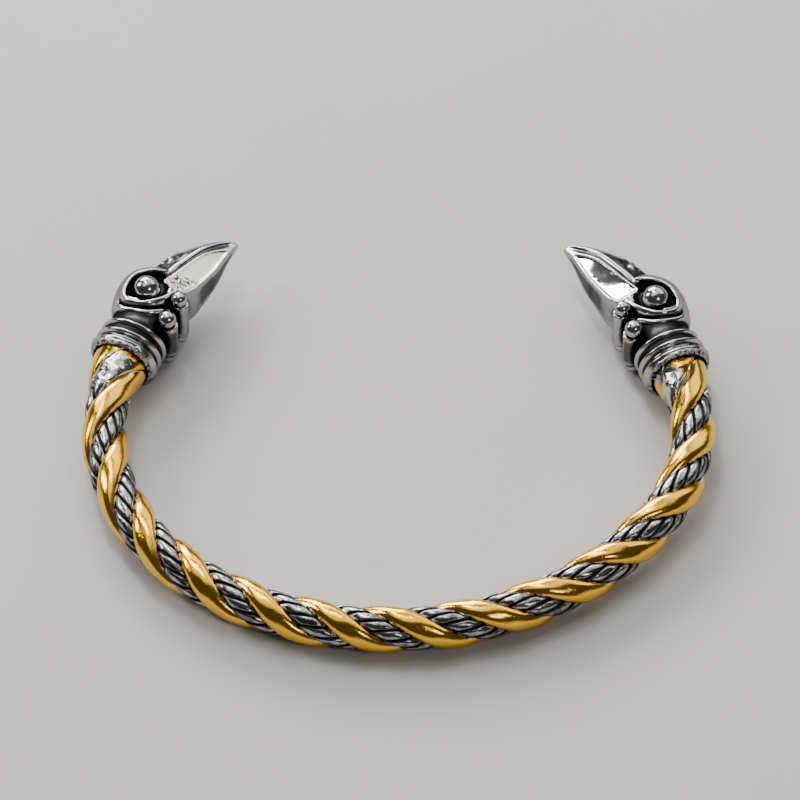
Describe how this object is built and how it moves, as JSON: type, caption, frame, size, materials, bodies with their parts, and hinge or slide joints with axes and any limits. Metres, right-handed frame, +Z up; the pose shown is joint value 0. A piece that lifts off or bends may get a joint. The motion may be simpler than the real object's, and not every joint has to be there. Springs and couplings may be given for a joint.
{
  "type": "torc cuff bracelet",
  "caption": "Penannular torc cuff bracelet: smooth gold-plated strands twisted with thin steel wires, a cast raven's head on each end, open at the back to go round a wrist.",
  "frame": {"origin": "centre of the bottom of the bounding box, on the surface that the cuff lies on", "axes": "+Z up out of that surface, -Y to the closed front of the cuff, +Y to its open mouth, +X to the right head"},
  "size_m": [0.0718, 0.0589, 0.0085],
  "materials": {
    "gold_plate": "polished gold plate",
    "wire_steel": "drawn wire, blackened in its valleys",
    "head_steel": "cast, oxidised dark, polished on its ridges"
  },
  "bodies": {
    "root": {"gold_strand_a": "gold_plate", "gold_strand_b": "gold_plate", "wire_strand_a": "wire_steel", "wire_strand_b": "wire_steel", "raven_head_left": "head_steel", "raven_head_right": "head_steel"}
  },
  "joints": []
}
